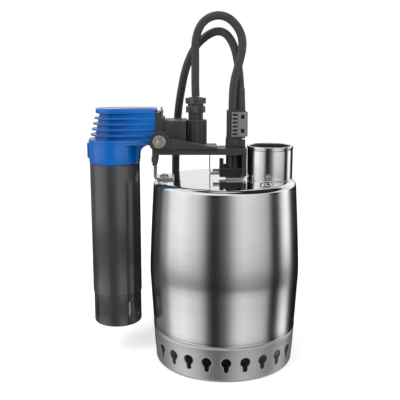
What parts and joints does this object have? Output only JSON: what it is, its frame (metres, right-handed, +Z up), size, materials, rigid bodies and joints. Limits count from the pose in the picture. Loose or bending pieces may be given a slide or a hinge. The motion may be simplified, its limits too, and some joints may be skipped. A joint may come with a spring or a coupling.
{
  "type": "submersible sump pump",
  "caption": "Stainless steel sump pump with keyhole suction strainer, top discharge port, strap handle and a finned level switch on an upright float tube.",
  "frame": {"origin": "on the casing's axis, at the underside of the suction strainer", "axes": "+Z up along the casing's axis, +X towards the discharge port, -X towards the level switch"},
  "size_m": [0.2132, 0.2885, 0.3445],
  "materials": {
    "casing_steel": "satin-brushed deep-drawn stainless steel, mirror-bright on the deck",
    "polished_steel": "polished stainless steel",
    "inner_steel": "plain pressed stainless steel",
    "fastener_steel": "bright machined steel",
    "lamination": "varnished electrical steel",
    "copper": "enamelled copper wire",
    "black_plastic": "fine-grained black moulded plastic",
    "grey_plastic": "satin dark grey plastic",
    "blue_plastic": "semi-gloss blue moulded plastic",
    "white_plastic": "white moulded plastic",
    "rubber": "matt dark grey rubber",
    "magnet": "sintered ferrite"
  },
  "bodies": {
    "pump": {"pump_casing": "casing_steel", "vent_screw": "polished_steel", "suction_strainer": "casing_steel", "discharge_port": "polished_steel", "flap_seat": "black_plastic", "flap_pin": "fastener_steel", "pump_bowl": "inner_steel", "casing_seal": "rubber", "neck_ring": "black_plastic", "bearing_bracket": "inner_steel", "motor_can": "inner_steel", "motor_cover": "inner_steel", "stator_core": "lamination", "lower_winding": "copper", "upper_winding": "copper", "lower_bearing": "fastener_steel", "upper_bearing": "fastener_steel", "shaft_seal": "rubber", "run_capacitor": "white_plastic", "handle_strap": "polished_steel", "handle_grip": "black_plastic", "handle_screw": "polished_steel", "handle_nut": "fastener_steel", "plug_socket": "black_plastic", "plug_body": "black_plastic", "plug_screw": "fastener_steel", "cable_clamp": "black_plastic", "clamp_ladder": "grey_plastic", "clamp_latch": "grey_plastic", "plug_retainer": "polished_steel", "switch_head": "blue_plastic", "reed_board": "white_plastic", "clamp_flange": "black_plastic", "head_clip": "polished_steel", "terminal_box": "black_plastic", "terminal_cover": "black_plastic", "terminal_strip": "white_plastic", "gland_nut": "black_plastic", "gland_seal": "rubber", "switch_bracket": "black_plastic", "clamp_washer": "polished_steel", "clamp_nut": "polished_steel", "clamp_bolt": "polished_steel", "float_tube": "grey_plastic", "tube_end": "grey_plastic", "switch_lead": "rubber", "mains_lead": "rubber", "mains_tail": "rubber", "mains_coil": "rubber", "coil_tie": "black_plastic", "mains_plug": "black_plastic"},
    "rotor": {"motor_shaft": "fastener_steel", "rotor_core": "lamination", "impeller": "inner_steel", "impeller_nut": "fastener_steel"},
    "float_unit": {"float": "white_plastic", "float_rod": "fastener_steel", "float_magnet": "magnet", "magnet_stop": "white_plastic"},
    "flap": {"check_flap": "rubber"}
  },
  "joints": [
    {"name": "rotor_spin", "type": "hinge", "parent": "pump", "child": "rotor", "pos_m": [0, 0, 0], "axis": [0, 0, 1], "continuous": true},
    {"name": "float_travel", "type": "slide", "parent": "pump", "child": "float_unit", "axis": [0, 0, 1], "range_m": [0, 0.055]},
    {"name": "flap_hinge", "type": "hinge", "parent": "pump", "child": "flap", "pos_m": [0.0616, 0, 0.1858], "axis": [0, 1, 0], "range_deg": [0, 70]}
  ]
}
